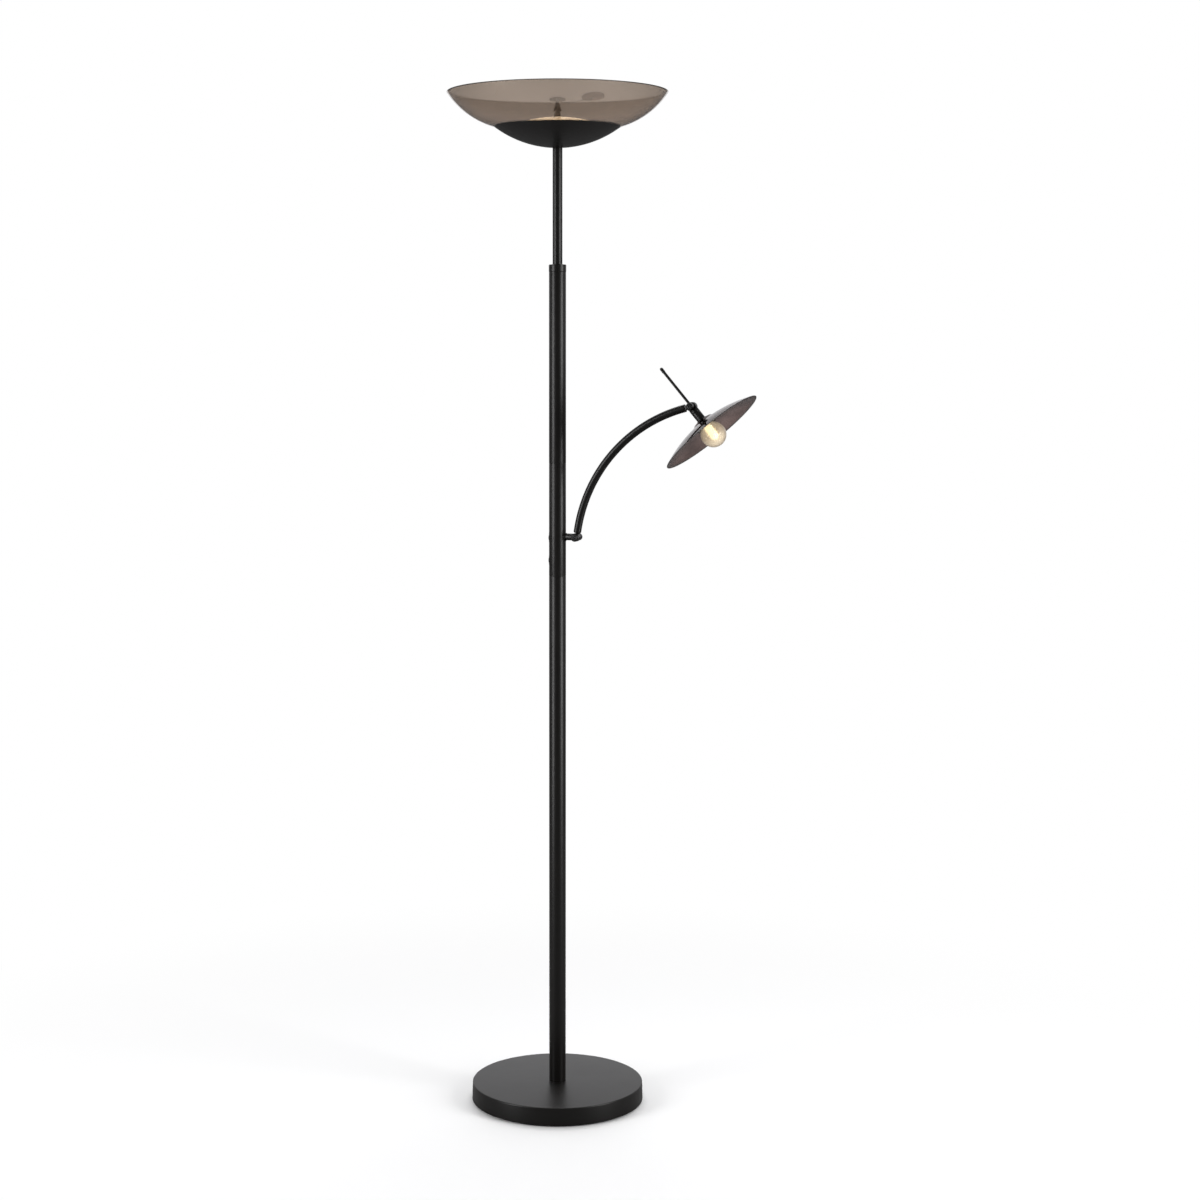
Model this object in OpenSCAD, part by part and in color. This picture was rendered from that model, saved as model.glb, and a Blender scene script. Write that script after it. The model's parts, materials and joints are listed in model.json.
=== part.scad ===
// Torchiere floor lamp: an uplight bowl of smoked glass on a pole, and a reading
// light on a curved side arm. The origin is at the centre of the foot, on the
// floor. +Z is up, and the arm reaches out along +X.

/* [Base] */
// Diameter of the round foot
base_d = 310; // [280:2:330]
// Height of the foot, from the floor to its top
base_h = 34.5; // [33:0.5:40]
// Radius of the foot's rounded top edge
base_edge_r = 2.2; // [1:0.2:3]
// Thickness of the foam pad under the foot
pad_t = 2.5; // [2:0.5:3]
// Thickness of the iron weight inside the foot
weight_t = 12; // [8:1:12]

/* [Pole] */
// Outer diameter of the three pole tubes
pole_d = 30; // [29:0.1:30.6]
// Height of the joint between the lower and the middle tube
lower_joint_z = 957; // [900:1:960]
// Height of the joint between the middle and the upper tube
upper_joint_z = 1157; // [1120:1:1200]
// Height of the reducer's top, where the pole steps down
reducer_z = 1504.5; // [1400:0.5:1520]
// Outer diameter of the thin top tube
stem_d = 17.2; // [15:0.1:18]

/* [Uplight] */
// Overall height of the lamp, at the rim of the bowl
lamp_h = 1800; // [1790:1:1810]
// Diameter of the glass bowl at its rim
bowl_d = 385.6; // [360:0.4:400]
// Radius of the bowl's curved side
bowl_side_r = 140.4; // [138:0.2:143]
// Radius of the bowl's flat floor
bowl_floor_r = 75.8; // [74:0.2:77]
// Thickness of the bowl's glass
bowl_t = 3; // [2.6:0.2:3.4]
// Diameter of the metal cup at its rim
cup_d = 219.2; // [216:0.4:222]
// Radius of the sphere that the cup is part of
cup_sphere_r = 186; // [184:0.5:188]
// Thickness of the cup's metal
cup_wall = 1.2; // [1:0.1:1.4]
// Radius of the opal diffuser
diffuser_r = 56; // [54:1:58]

/* [Arm] */
// Distance from the pole's axis to the lower pivot
pivot_x = 36.2; // [36:0.1:38]
// Height of the lower pivot
pivot_z = 1027; // [1020:1:1040]
// Outer diameter of the arm tube
arm_d = 13.6; // [12.6:0.2:13.8]
// Bend radius of the arm tube
arm_bend_r = 267; // [262:1:276]
// Slope of the arm at the lower pivot, in degrees above the horizontal
arm_start_a = 83.6; // [82:0.1:84]
// Bend of the whole arm, in degrees
arm_turn_a = 71.4; // [70:0.2:72]

/* [Reading light] */
// Slope of the reading light's axis below the horizontal, in degrees
head_a = 49.5; // [49:0.5:53]
// Diameter of the reading shade at its rim
shade_d = 197; // [190:1:204]
// Radius of the sphere that the shade is part of
shade_sphere_r = 225; // [223:1:227]
// Thickness of the shade's glass
shade_t = 2.6; // [2.2:0.2:3]
// Distance from the upper pivot to the plane of the shade's rim
rim_t = 57.2; // [57:0.1:57.6]
// Diameter of the bulb's glass globe
globe_d = 44.4; // [44:0.1:45]
// Distance from the upper pivot to the globe's centre
globe_t = 62; // [61.5:0.1:62.5]
// Diameter of the aiming rod behind the reading light
rod_d = 4.8; // [3.6:0.1:4.9]
// Distance from the upper pivot to the end of the aiming rod
rod_end = 87; // [70:1:90]

/* [Dimmers] */
// Diameter of the push button caps
button_d = 12.4; // [12:0.2:12.4]
// Height of the uplight's dimmer
upper_dimmer_z = 1025; // [1024:1:1030]
// Height of the reading light's dimmer
lower_dimmer_z = 985; // [978:1:990]

/* [Hidden] */
$fn = 96;

// Base, from the floor up
base_r = base_d / 2;
base_wall = 1.5;
base_flare = 0.8;
pad_inset = 5;
plate_gap = 0.4;
centre_hole_r = 20;
thread_play = 0.3;
plate_t = 1.5;
weight_r = base_r - 9;
weight_top = base_h - base_wall;
weight_bottom = weight_top - weight_t;
base_washer_r = 20;
base_washer_t = 1.8;
base_washer_bottom = weight_bottom - base_washer_t;
nut_t = 6;
thread_r = 5;
thread_bore_r = 3.6;
nut_flats = 14;
base_nut_bottom = base_washer_bottom - nut_t;
foot_plug_h = 25;
grommet_z = 9.5;
grommet_bore_r = 3.2;
grommet_neck_r = 4.2;
grommet_flange_r = 5.2;
grommet_flange_t = 2;
grommet_inner_y = base_r - 4.4;
lead_r = 2.6;
lead_bend_r = 4;

// Pole
pole_r = pole_d / 2;
pole_wall = 1.5;
pole_bore_r = pole_r - pole_wall;
coupler_below = 30;
coupler_above = 15;
coupler_bore_r = 6;
coupler_lip_t = 0.6;
coupler_lip_inset = 0.3;
reducer_band = 13;
reducer_proud = 0.3;
reducer_shoulder = 1.6;
reducer_neck_r = 9.6;
reducer_spigot_h = 24;
reducer_bottom = reducer_z - reducer_band;
stem_r = stem_d / 2;
stem_bore_r = stem_r - 1.2;
stem_bottom = reducer_bottom - reducer_spigot_h + 2;
top_plug_h = 20;

// Uplight, from the cup up
cup_r = cup_d / 2;
bowl_r = bowl_d / 2;
bowl_arc_z = lamp_h + sqrt(pow(bowl_side_r, 2) - pow(bowl_r - bowl_floor_r, 2));
bowl_under = bowl_arc_z - bowl_side_r;
bowl_floor_top = bowl_under + bowl_t;
bowl_hole_r = 50;
bowl_steps = 14;
bowl_at_cup_z = bowl_arc_z - sqrt(pow(bowl_side_r, 2) - pow(cup_r - bowl_floor_r, 2));
cup_rim_z = bowl_at_cup_z - 0.6;
cup_sphere_z = cup_rim_z + sqrt(pow(cup_sphere_r, 2) - pow(cup_r, 2));
cup_bottom = cup_sphere_z - cup_sphere_r;
gasket_w = 3;
gasket_h = 1.8;
gasket_gap = 0.02;
bowl_pad_r = 66;
bowl_pad_t = 1;
sink_r = 68;
sink_t = 6;
sink_top = bowl_under - bowl_pad_t;
sink_bottom = sink_top - sink_t;
sink_core_r = 46;
sink_core_top = bowl_floor_top - 0.2;
bowl_ring_r = 53.5;
bowl_ring_bore_r = 41.5;
bowl_ring_t = 1.4;
ring_screws_at = 43.8;
ring_screw_r = 1.2;
ring_screw_head_r = 2;
ring_screw_head_t = 1.2;
ring_screw_len = 7;
ring_screw_count = 3;
boss_r = 11;
cup_seat_z = cup_bottom + cup_wall + 0.7;
head_washer_r = 16;
head_washer_t = 1.5;
head_nut_bottom = cup_seat_z + head_washer_t;
boss_bottom = head_nut_bottom + nut_t + 0.5;
head_nipple_top = boss_bottom + 8;
head_nipple_bottom = cup_bottom - 18;
slot_w = 6;
board_r = 40;
board_t = 1.6;
board_top = sink_core_top + board_t;
led_side = 4;
led_t = 1.2;
led_rings = [[12, 6], [24, 12], [36, 18]];
diffuser_wall = 1.6;
diffuser_side_h = 8;
diffuser_top = bowl_floor_top + 15;
diffuser_dome_h = diffuser_top - bowl_floor_top - diffuser_side_h;
driver_size = [60, 28, 13];
driver_y = 22;
driver_lead_z = head_nipple_top + 4;

// Knuckles: each is two ears side by side on a screw that runs along Y
ear_gap = 0.4;
ear_len = 12.6;
big_ear_r = 8;
stub_ear_r = 7.4;
small_ear_r = 6.6;
ear_play = 0.35;
ear_chamfer = 1.2;
friction_r = 6;
screw_r = 2;
screw_play = 0.05;
screw_head_r = 3.5;
screw_head_t = 3;
pivot_nut_flats = 6;
pivot_nut_t = 3;
pocket_play = 0.1;
pocket_depth = 3.2;
hex_key_r = 1.5;
hex_key_depth = 1.5;
web_t = 7;
lower_reach = 8.6;
lower_room_r = 8.2;
upper_reach = 10.2;
upper_room_r = 9.2;
lead_small_r = 1.8;
lead_hole_r = 2.2;
spigot_a = 3;
spigot_play = 0.1;

// Stub that carries the arm on the pole
stub_r = 6.1;
stub_web_t = 9;
stub_reach = 8.5;
saddle_r = 7.2;
saddle_t = 1.2;
stub_thread_end = 5.5;
stub_nut_t = 4;
stub_nut_x = sqrt(pow(pole_bore_r, 2) - pow(nut_flats / 2, 2)) - stub_nut_t - 0.05;

// Arm
arm_r = arm_d / 2;
arm_bore_r = arm_r - 1.3;
arm_end_a = arm_start_a - arm_turn_a;
arm_centre_x = pivot_x + arm_bend_r * sin(arm_start_a);
arm_centre_z = pivot_z - arm_bend_r * cos(arm_start_a);
lower_inset_a = lower_reach / arm_bend_r * 180 / PI;
upper_inset_a = upper_reach / arm_bend_r * 180 / PI;
tube_end_a = arm_turn_a - upper_inset_a;
head_x = arm_centre_x - arm_bend_r * sin(arm_end_a);
head_z = arm_centre_z + arm_bend_r * cos(arm_end_a);

// Reading light, measured along its own axis from the upper pivot
neck_r = 7.85;
neck_bore_r = 6.65;
neck_root = 14;
neck_spigot_len = 8;
neck_collar_r = 9.6;
neck_collar_t = 1.5;
neck_end = 36;
shade_r = shade_d / 2;
shade_arc_t = rim_t + sqrt(pow(shade_sphere_r, 2) - pow(shade_r, 2));
plateau_r = 17.5;
plateau_t = 31;
flare_r = 23;
shade_hole_r = neck_r + 0.35;
shade_steps = 10;
holder_r = 12;
holder_back = plateau_t + shade_t;
holder_flange_r = 18.7;
holder_flange_back = 41;
holder_front = 44.5;
holder_bore_r = 9.2;
holder_play = 0.6;
washer_r = 11;
washer_t = 1;
socket_r = 6.6;
socket_back = 23;
socket_front = 35;
pin_spacing = 9;
pin_r = 0.9;
pin_hole_r = 1.1;
pin_back = 28;
cap_r = 8.6;
cap_back = 36.2;
cap_front = 43;
globe_r = globe_d / 2;
globe_wall = 0.8;
core_r = 7.5;
core_front = 71;
rod_r = rod_d / 2;
rod_y = 3;
rod_root = 4.5;
tip_r = 2.9;
tip_len = 7;

// Dimmers: their axis runs along X, and they face -X
button_r = button_d / 2;
bezel_face = pole_r + 0.25;
bezel_r = 8.8;
bezel_neck_r = 8;
bezel_bore_r = button_r + 0.06;
bezel_lip_t = 3.8;
bezel_skirt = 4;
rim_r = 7;
rim_play = 0.1;
rim_thick = 1.1;
button_proud = 0.1;
button_dome_r = 38;
plunger_r = 2;
plunger_play = 0.05;
plunger_end = 6;
module_face = 8.6;
module_size = [11.1, 16, 18];
plunger_hole_depth = 4.6;

// Colours
satin_black = [0.07, 0.07, 0.075];
dark_steel = [0.16, 0.16, 0.17];
zinc = [0.7, 0.71, 0.72];
iron = [0.3, 0.29, 0.28];
foam = [0.12, 0.12, 0.12];
smoke = [0.42, 0.35, 0.31, 0.55];
clear = [0.95, 0.9, 0.8, 0.4];
opal = [0.97, 0.94, 0.86];
warm = [1, 0.9, 0.6];
white_board = [0.92, 0.92, 0.9];
bare_aluminium = [0.78, 0.78, 0.8];
white_case = [0.88, 0.88, 0.86];
ceramic = [0.9, 0.88, 0.83];
nickel = [0.78, 0.74, 0.66];
lead_sheath = [0.2, 0.2, 0.21];

// Ring with a plain round bore, standing on z
module ring(outer_r, inner_r, z, h) {
    translate([0, 0, z]) difference() {
        cylinder(r = outer_r, h = h);
        translate([0, 0, -1]) cylinder(r = inner_r, h = h + 2);
    }
}

// Hexagon nut with a threaded bore, standing on z
module hex_nut(flats, bore_r, z, h) {
    translate([0, 0, z]) difference() {
        cylinder(r = flats / sqrt(3), h = h, $fn = 6);
        translate([0, 0, -1]) cylinder(r = bore_r, h = h + 2);
    }
}

// Points of an arc about (cx, cy), from angle a to angle b
function arc(cx, cy, r, a, b, steps) =
    [for (i = [0:steps]) let (t = a + (b - a) * i / steps) [cx + r * cos(t), cy + r * sin(t)]];

// Puts a part's own X axis on a line through (x, z) that climbs at angle a
module along(x, z, a) {
    translate([x, 0, z]) rotate([0, -a, 0]) children();
}

// Frame of the reading light: its own Z runs from the upper pivot towards the bulb
module at_head() {
    translate([head_x, 0, head_z]) rotate([0, 90 + head_a, 0]) children();
}

// Frame of a dimmer: its own Z points out of the pole, along -X
module at_dimmer(z) {
    translate([0, 0, z]) rotate([0, -90, 0]) children();
}

// ---- Foot ----

module base_pad() {
    color(foam) ring(base_r - pad_inset, centre_hole_r, 0, pad_t);
}

module base_plate() {
    color(dark_steel) ring(base_r - base_wall - plate_gap, centre_hole_r / 2, pad_t, plate_t);
}

// Drawn sheet cover, with a rounded top edge and a slightly flared side
module base_cover() {
    top_r = base_r - base_flare;
    r_in = base_r - base_wall;
    hole_r = thread_r + thread_play;
    color(satin_black) difference() {
        rotate_extrude() polygon(concat(
            [[hole_r, weight_top], [top_r - base_wall - 1, weight_top], [r_in, pad_t]],
            [[base_r, pad_t]],
            arc(top_r - base_edge_r, base_h - base_edge_r, base_edge_r, 0, 90, 6),
            [[hole_r, base_h]]));
        translate([0, base_r, grommet_z]) rotate([90, 0, 0])
            cylinder(r = grommet_neck_r, h = 12, center = true);
    }
}

module base_weight() {
    color(iron) ring(weight_r, thread_r + thread_play, weight_bottom, weight_t);
}

module base_nipple() {
    color(zinc) ring(thread_r, thread_bore_r, base_nut_bottom + 0.5,
                     base_h + foot_plug_h - 1 - base_nut_bottom);
}

module base_washer() {
    color(zinc) ring(base_washer_r, thread_r + thread_play, base_washer_bottom, base_washer_t);
}

module base_nut() {
    color(zinc) hex_nut(nut_flats, thread_r, base_nut_bottom, nut_t);
}

// Rubber grommet in the foot's rear wall, where the mains cord comes in
module cord_grommet() {
    flange_y = base_r - 0.1;
    color(foam) translate([0, 0, grommet_z]) rotate([-90, 0, 0]) difference() {
        union() {
            translate([0, 0, flange_y]) cylinder(r = grommet_flange_r, h = grommet_flange_t);
            translate([0, 0, grommet_inner_y]) cylinder(r = grommet_neck_r, h = 5);
            translate([0, 0, grommet_inner_y]) cylinder(r = grommet_flange_r, h = grommet_flange_t);
        }
        translate([0, 0, grommet_inner_y - 1]) cylinder(r = grommet_bore_r, h = 12);
    }
}

// Inner lead, from behind the grommet to the middle and up to the lower dimmer
module mains_lead() {
    color(lead_sheath) {
        translate([0, 0, grommet_z]) rotate([-90, 0, 0]) cylinder(r = lead_r, h = weight_r);
        translate([0, 0, grommet_z]) sphere(r = lead_r);
        translate([0, 0, grommet_z])
            cylinder(r = lead_r, h = lower_dimmer_z - module_size[2] / 2 - grommet_z);
    }
}

// ---- Pole ----

module foot_plug() {
    color(zinc) ring(pole_bore_r, thread_r, base_h, foot_plug_h);
}

module pole_tube(bottom, top) {
    color(satin_black) ring(pole_r, pole_bore_r, bottom, top - bottom);
}

module lower_pole() {
    pole_tube(base_h, lower_joint_z - coupler_lip_t / 2);
}

// Spigot in both tubes, with a thin lip that shows as the joint line
module coupler(z) {
    color(satin_black) difference() {
        union() {
            translate([0, 0, z - coupler_below])
                cylinder(r = pole_bore_r, h = coupler_below + coupler_above);
            translate([0, 0, z - coupler_lip_t / 2])
                cylinder(r = pole_r - coupler_lip_inset, h = coupler_lip_t);
        }
        translate([0, 0, z - coupler_below - 1])
            cylinder(r = coupler_bore_r, h = coupler_below + coupler_above + 2);
    }
}

module lower_coupler() {
    coupler(lower_joint_z);
}

// Middle tube, with holes for both dimmers and for the arm's stub
module middle_pole() {
    color(satin_black) difference() {
        pole_tube(lower_joint_z + coupler_lip_t / 2, upper_joint_z - coupler_lip_t / 2);
        for (z = [lower_dimmer_z, upper_dimmer_z])
            at_dimmer(z) cylinder(r = bezel_neck_r, h = 2 * pole_r);
        translate([0, 0, pivot_z]) rotate([0, 90, 0]) cylinder(r = thread_r, h = 2 * pole_r);
    }
}

module upper_coupler() {
    coupler(upper_joint_z);
}

module upper_pole() {
    pole_tube(upper_joint_z + coupler_lip_t / 2, reducer_bottom);
}

// Turned cap that steps the pole down to the top tube
module reducer() {
    color(satin_black) rotate_extrude() polygon([
        [stem_r, reducer_bottom - reducer_spigot_h],
        [pole_bore_r, reducer_bottom - reducer_spigot_h],
        [pole_bore_r, reducer_bottom],
        [pole_r, reducer_bottom],
        [pole_r + reducer_proud, reducer_bottom + 1],
        [pole_r + reducer_proud, reducer_z - reducer_shoulder],
        [pole_r - 1, reducer_z - reducer_shoulder + 1],
        [reducer_neck_r + 1, reducer_z - 0.6],
        [reducer_neck_r, reducer_z],
        [stem_r, reducer_z]]);
}

module top_tube() {
    color(satin_black) ring(stem_r, stem_bore_r, stem_bottom, cup_bottom - stem_bottom);
}

module top_plug() {
    color(zinc) ring(stem_bore_r, thread_r, cup_bottom - top_plug_h, top_plug_h);
}

module head_nipple() {
    color(zinc) ring(thread_r, thread_bore_r, head_nipple_bottom,
                     head_nipple_top - head_nipple_bottom);
}

// ---- Uplight ----

// Spun metal cup: a slice of a hollow sphere, open at the top
module uplight_cup() {
    color(satin_black) difference() {
        intersection() {
            translate([0, 0, cup_sphere_z]) sphere(r = cup_sphere_r);
            translate([0, 0, cup_bottom - 1])
                cylinder(r = cup_r + 5, h = cup_rim_z - cup_bottom + 1);
        }
        translate([0, 0, cup_sphere_z]) sphere(r = cup_sphere_r - cup_wall);
        translate([0, 0, cup_bottom - 2]) cylinder(r = thread_r + thread_play, h = 10);
    }
}

module cup_washer() {
    color(zinc) ring(head_washer_r, thread_r + thread_play, cup_seat_z, head_washer_t);
}

module cup_nut() {
    color(zinc) hex_nut(nut_flats, thread_r, head_nut_bottom, nut_t);
}

// Lead from dimmer to dimmer, then up through the nipple and out to the driver
module uplight_lead() {
    start = upper_dimmer_z + module_size[2] / 2;
    gap = upper_dimmer_z - lower_dimmer_z - module_size[2];
    thin_r = lead_r - 0.4;
    color(lead_sheath) {
        translate([0, 0, start - module_size[2] - gap]) cylinder(r = thin_r, h = gap);
        translate([0, 0, start]) cylinder(r = thin_r, h = driver_lead_z - lead_bend_r - start);
        translate([0, lead_bend_r, driver_lead_z - lead_bend_r]) rotate([90, 0, 90])
            rotate([0, 0, 90]) rotate_extrude(angle = 90)
                translate([lead_bend_r, 0]) circle(r = thin_r);
        translate([0, lead_bend_r, driver_lead_z]) rotate([-90, 0, 0])
            cylinder(r = thin_r, h = driver_y - lead_bend_r);
    }
}

// Aluminium plate that carries the board and clamps the bowl, on a threaded boss
module heat_sink() {
    color(bare_aluminium) difference() {
        union() {
            translate([0, 0, sink_bottom]) cylinder(r = sink_r, h = sink_t);
            translate([0, 0, sink_bottom]) cylinder(r = sink_core_r, h = sink_core_top - sink_bottom);
            translate([0, 0, boss_bottom]) cylinder(r = boss_r, h = sink_bottom - boss_bottom + 1);
        }
        translate([0, 0, boss_bottom - 1]) cylinder(r = thread_r, h = sink_bottom - boss_bottom + 1);
        translate([-slot_w / 2, 0, head_nipple_top + 0.5])
            cube([slot_w, boss_r + 1, sink_bottom - head_nipple_top - 0.5]);
        at_ring_screws() translate([0, 0, sink_bottom - 1]) cylinder(r = ring_screw_r, h = 20);
    }
}

module led_driver() {
    color(white_case) translate([-driver_size[0] / 2, driver_y, sink_bottom - driver_size[2]])
        cube(driver_size);
}

module led_board() {
    color(white_board) translate([0, 0, sink_core_top]) cylinder(r = board_r, h = board_t);
}

module uplight_leds() {
    color(warm) for (ring_of = led_rings)
        for (i = [0:ring_of[1] - 1])
            rotate([0, 0, i * 360 / ring_of[1]])
                translate([ring_of[0] - led_side / 2, -led_side / 2, board_top])
                    cube([led_side, led_side, led_t]);
}

module bowl_pad() {
    color(foam) ring(bowl_pad_r, bowl_hole_r, bowl_under - bowl_pad_t, bowl_pad_t);
}

// Soft edging between the cup's rim and the glass
module bowl_gasket() {
    color(foam) difference() {
        ring(cup_r, cup_r - gasket_w, cup_rim_z + gasket_gap, gasket_h);
        rotate_extrude() polygon(concat(
            [[0, lamp_h], [0, bowl_under]],
            arc(bowl_floor_r, bowl_arc_z, bowl_side_r, -90, -70, 8),
            [[bowl_r, lamp_h]]));
    }
}

// Slumped glass dish: a flat floor with a hole, and a side of one radius
module glass_bowl() {
    inner_r = bowl_side_r - bowl_t;
    rim_drop = bowl_arc_z - lamp_h;
    outer_a = -asin(rim_drop / bowl_side_r);
    inner_a = -asin(rim_drop / inner_r);
    color(smoke) rotate_extrude() polygon(concat(
        [[bowl_hole_r, bowl_floor_top], [bowl_hole_r, bowl_under]],
        arc(bowl_floor_r, bowl_arc_z, bowl_side_r, -90, outer_a, bowl_steps),
        arc(bowl_floor_r, bowl_arc_z, inner_r, inner_a, -90, bowl_steps)));
}

// Places three fasteners round the bowl's retaining ring
module at_ring_screws() {
    for (i = [0:ring_screw_count - 1])
        rotate([0, 0, i * 360 / ring_screw_count]) translate([ring_screws_at, 0, 0]) children();
}

// Retaining ring that clamps the glass down on the heat sink
module bowl_ring() {
    color(bare_aluminium) difference() {
        ring(bowl_ring_r, bowl_ring_bore_r, bowl_floor_top, bowl_ring_t);
        at_ring_screws() translate([0, 0, bowl_floor_top - 1]) cylinder(r = ring_screw_r, h = 5);
    }
}

module ring_screws() {
    head_z = bowl_floor_top + bowl_ring_t;
    color(zinc) at_ring_screws() {
        translate([0, 0, head_z]) cylinder(r = ring_screw_head_r, h = ring_screw_head_t);
        translate([0, 0, head_z - ring_screw_len]) cylinder(r = ring_screw_r, h = ring_screw_len);
    }
}

// Opal lid over the light-emitting diodes, with a low dome
module diffuser() {
    dome_r = (pow(diffuser_r, 2) + pow(diffuser_dome_h, 2)) / (2 * diffuser_dome_h);
    color(opal) difference() {
        intersection() {
            translate([0, 0, bowl_floor_top])
                cylinder(r = diffuser_r, h = diffuser_top - bowl_floor_top);
            translate([0, 0, diffuser_top - dome_r]) sphere(r = dome_r);
        }
        intersection() {
            translate([0, 0, bowl_floor_top - 1])
                cylinder(r = diffuser_r - diffuser_wall, h = diffuser_top - bowl_floor_top);
            translate([0, 0, diffuser_top - dome_r]) sphere(r = dome_r - diffuser_wall);
        }
    }
}

// ---- Dimmers ----

// Ring that fills the hole in the pole, and stands a little proud along the pole's curve
module dimmer_bezel(z) {
    color(satin_black) difference() {
        intersection() {
            union() {
                difference() {
                    at_dimmer(z) translate([0, 0, pole_r - bezel_skirt])
                        cylinder(r = bezel_r, h = bezel_face - pole_r + bezel_skirt);
                    translate([0, 0, z - 15]) cylinder(r = pole_r, h = 30);
                }
                at_dimmer(z) translate([0, 0, module_face])
                    cylinder(r = bezel_neck_r, h = bezel_face - module_face);
            }
            translate([0, 0, z - 15]) cylinder(r = bezel_face, h = 30);
        }
        at_dimmer(z) cylinder(r = bezel_bore_r, h = 2 * pole_r);
        at_dimmer(z) cylinder(r = rim_r + rim_play, h = bezel_face - bezel_lip_t);
    }
}

module dimmer_bezel_upper() {
    dimmer_bezel(upper_dimmer_z);
}

module dimmer_bezel_lower() {
    dimmer_bezel(lower_dimmer_z);
}

// Domed cap, with a rim that keeps it in the bezel and a plunger behind it
module dimmer_button(z) {
    face = bezel_face + button_proud;
    rim_front = bezel_face - bezel_lip_t - rim_play;
    color(dark_steel) at_dimmer(z) {
        intersection() {
            translate([0, 0, rim_front - rim_thick])
                cylinder(r = button_r, h = face - rim_front + rim_thick);
            translate([0, 0, face - button_dome_r]) sphere(r = button_dome_r);
        }
        translate([0, 0, rim_front - rim_thick]) cylinder(r = rim_r, h = rim_thick);
        translate([0, 0, plunger_end]) cylinder(r = plunger_r, h = rim_front - plunger_end);
    }
}

module dimmer_button_upper() {
    dimmer_button(upper_dimmer_z);
}

module dimmer_button_lower() {
    dimmer_button(lower_dimmer_z);
}

// Sealed dimmer block behind the bezel, with the plunger's guide hole
module dimmer_module(z) {
    color(white_case) difference() {
        translate([-module_face, -module_size[1] / 2, z - module_size[2] / 2]) cube(module_size);
        at_dimmer(z) translate([0, 0, module_face - plunger_hole_depth])
            cylinder(r = plunger_r + plunger_play, h = 10);
    }
}

module dimmer_module_upper() {
    dimmer_module(upper_dimmer_z);
}

module dimmer_module_lower() {
    dimmer_module(lower_dimmer_z);
}

// ---- Knuckles ----

// Round ear on one side of the arm's plane, with a chamfered outer end
module ear(side, r) {
    rotate([side * -90, 0, 0]) rotate_extrude() polygon([
        [0, ear_gap / 2], [r, ear_gap / 2],
        [r, ear_gap / 2 + ear_len - ear_chamfer],
        [r - ear_chamfer, ear_gap / 2 + ear_len], [0, ear_gap / 2 + ear_len]]);
}

// Room for the other half's ear, so that it can turn
module ear_room(side, r) {
    rotate([side * -90, 0, 0]) translate([0, 0, -ear_gap / 2]) cylinder(r = r, h = 20);
}

// Hole along the pivot's axis, through both sides
module pivot_hole(r) {
    rotate([90, 0, 0]) cylinder(r = r, h = 60, center = true);
}

// Pocket in the outer end of an ear, for the screw's head or its nut
module ear_pocket(side) {
    rotate([side * -90, 0, 0]) translate([0, 0, ear_gap / 2 + ear_len - pocket_depth])
        cylinder(r = screw_head_r + pocket_play, h = pocket_depth + 1);
}

// Screw through both ears: a head at one end, a nut at the other
module pivot_screw(head_side) {
    end = ear_gap / 2 + ear_len;
    shank_end = end - 0.4;
    head_base = end - pocket_depth;
    rotate([head_side * -90, 0, 0]) {
        difference() {
            translate([0, 0, head_base]) cylinder(r = screw_head_r, h = screw_head_t);
            translate([0, 0, head_base + screw_head_t - hex_key_depth])
                cylinder(r = hex_key_r, h = 2 * hex_key_depth, $fn = 6);
        }
        translate([0, 0, -shank_end]) cylinder(r = screw_r, h = shank_end + head_base + 0.5);
        translate([0, 0, -end + pocket_depth - pivot_nut_t - 0.05])
            cylinder(r = pivot_nut_flats / sqrt(3), h = pivot_nut_t, $fn = 6);
    }
}

// Thin disc between two ears that sets the drag
module friction_disc() {
    t = ear_gap - 0.1;
    rotate([90, 0, 0]) difference() {
        cylinder(r = friction_r, h = t, center = true);
        cylinder(r = screw_r + screw_play, h = 2, center = true);
    }
}

// Curved-back ring between the pole and the stub
module arm_saddle() {
    color(satin_black) difference() {
        translate([0, 0, pivot_z]) rotate([0, 90, 0]) cylinder(r = saddle_r, h = pole_r + saddle_t);
        translate([0, 0, pivot_z - 20]) cylinder(r = pole_r, h = 40);
        translate([0, 0, pivot_z]) rotate([0, 90, 0]) cylinder(r = thread_r, h = 30);
    }
}

// Fixed half of the lower knuckle, on a short horizontal stub
module arm_stub() {
    stub_len = pivot_x - pole_r - saddle_t;
    color(satin_black) along(pivot_x, pivot_z, 180) difference() {
        union() {
            ear(-1, stub_ear_r);
            translate([0, -stub_r, -stub_web_t / 2]) cube([stub_reach, 2 * stub_r, stub_web_t]);
            translate([stub_reach, 0, 0]) rotate([0, 90, 0])
                cylinder(r = stub_r, h = stub_len - stub_reach);
            translate([stub_len - 1, 0, 0]) rotate([0, 90, 0])
                cylinder(r = thread_r, h = pivot_x - stub_thread_end - stub_len + 1);
        }
        ear_room(1, small_ear_r + ear_play);
        pivot_hole(screw_r + screw_play);
        ear_pocket(-1);
        translate([stub_reach, 0, 0]) rotate([0, 90, 0]) cylinder(r = lead_hole_r, h = 40);
    }
}

module stub_nut() {
    color(zinc) translate([stub_nut_x, 0, pivot_z]) rotate([0, 90, 0])
        hex_nut(nut_flats, thread_r, 0, stub_nut_t);
}

module arm_friction_disc() {
    color(nickel) translate([pivot_x, 0, pivot_z]) friction_disc();
}

module arm_pivot_screw() {
    color(dark_steel) along(pivot_x, pivot_z, 180) pivot_screw(-1);
}

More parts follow.
